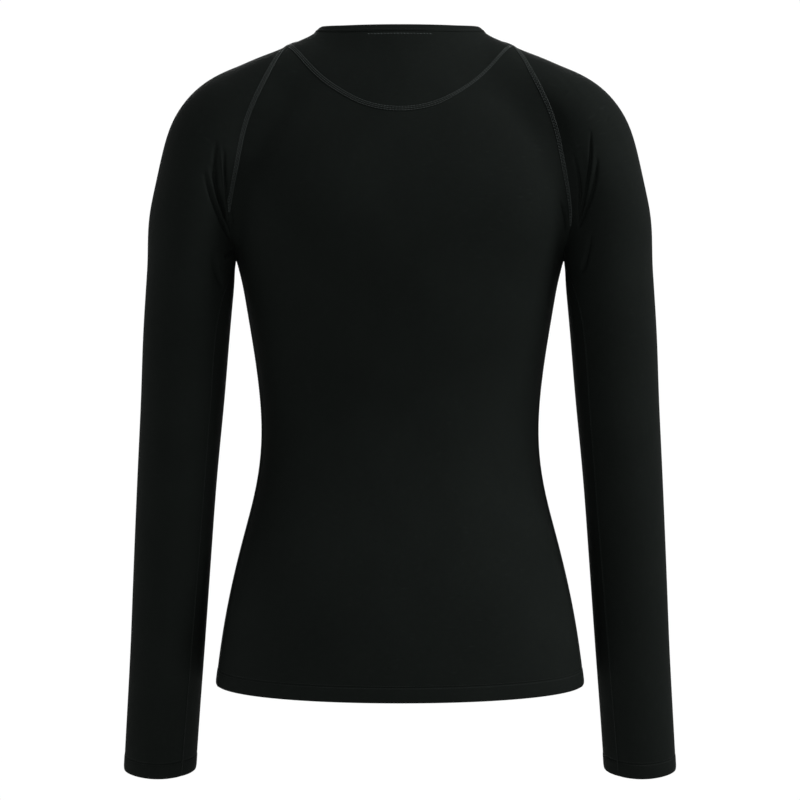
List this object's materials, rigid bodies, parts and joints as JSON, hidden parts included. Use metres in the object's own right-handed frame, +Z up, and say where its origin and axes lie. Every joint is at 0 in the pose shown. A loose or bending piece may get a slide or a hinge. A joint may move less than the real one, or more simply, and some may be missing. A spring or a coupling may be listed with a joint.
{
  "type": "base layer top",
  "caption": "Long-sleeved raglan base layer top in fine near-black knit, filled out as when worn, with a half-moon back yoke and a narrow bound round neck.",
  "frame": {"origin": "middle of the neck opening, level with the shoulder ends of the neckline, where the wearer's shoulders hold the top up", "axes": "+Z up along the wearer's spine, -Y the way the wearer faces, +X towards the wearer's left"},
  "size_m": [0.4936, 0.2221, 0.6659],
  "materials": {
    "knit": "matt fine jersey knit",
    "binding": "matt folded knit binding"
  },
  "bodies": {
    "root": {"front": "knit", "back": "knit", "back_yoke": "knit", "sleeve_left": "knit", "sleeve_right": "knit", "neck_binding": "binding"}
  },
  "joints": []
}
